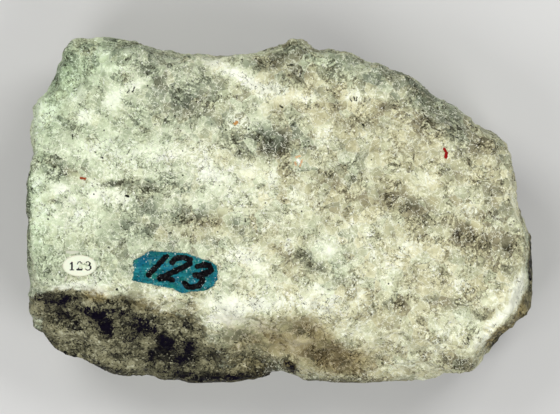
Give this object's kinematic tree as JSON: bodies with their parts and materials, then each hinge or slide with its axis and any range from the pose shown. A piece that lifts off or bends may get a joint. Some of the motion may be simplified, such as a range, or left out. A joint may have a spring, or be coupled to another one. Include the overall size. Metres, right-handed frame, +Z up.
{
  "type": "marble hand specimen",
  "caption": "Rough hammer-trimmed block of coarse white and grey marble that lies flat, with a small oval paper number label on its top face.",
  "frame": {"origin": "on the surface that the block lies on, under the middle of its bounding box", "axes": "+X along the block's length, towards its pointed right end; +Y across it, towards its back edge; +Z up, out of the labelled face"},
  "size_m": [0.12, 0.082, 0.04],
  "materials": {
    "marble": "coarse broken crystalline marble, dull satin with bright cleavage faces",
    "label_paper": "matt printed paper"
  },
  "bodies": {
    "root": {"marble_block": "marble", "number_label": "label_paper"}
  },
  "joints": []
}
